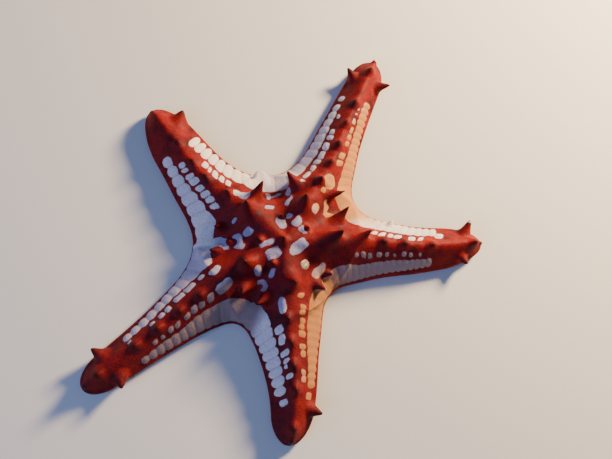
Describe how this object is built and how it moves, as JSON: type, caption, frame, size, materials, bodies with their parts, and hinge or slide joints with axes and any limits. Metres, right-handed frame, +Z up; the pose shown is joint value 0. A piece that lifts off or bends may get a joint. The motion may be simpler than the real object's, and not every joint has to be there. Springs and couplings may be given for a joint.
{
  "type": "starfish model",
  "caption": "Life-size red-knobbed sea star lying flat with its arms spread, a still display model.",
  "frame": {"origin": "on the floor, under the middle of the animal's own box", "axes": "+Z up out of the animal's upper side, +Y away from the picture's viewer, along its longest extent, +X to the right in the picture"},
  "size_m": [0.2211, 0.2265, 0.034],
  "materials": {
    "pale_skin": "matt, finely pebbled skin, cream to grey-white plates between red ridges",
    "red_skin": "satin red skin of the knobs, ridges and arm ends",
    "sieve_plate": "matt cream chalky plate with fine grooves"
  },
  "bodies": {
    "root": {"disc": "pale_skin", "madreporite": "sieve_plate", "arm_a_inner": "pale_skin", "arm_a_outer": "red_skin", "arm_b_inner": "pale_skin", "arm_b_outer": "red_skin", "arm_c_inner": "pale_skin", "arm_c_outer": "red_skin", "arm_d_inner": "pale_skin", "arm_d_outer": "red_skin", "arm_e_inner": "pale_skin", "arm_e_outer": "red_skin"}
  },
  "joints": []
}
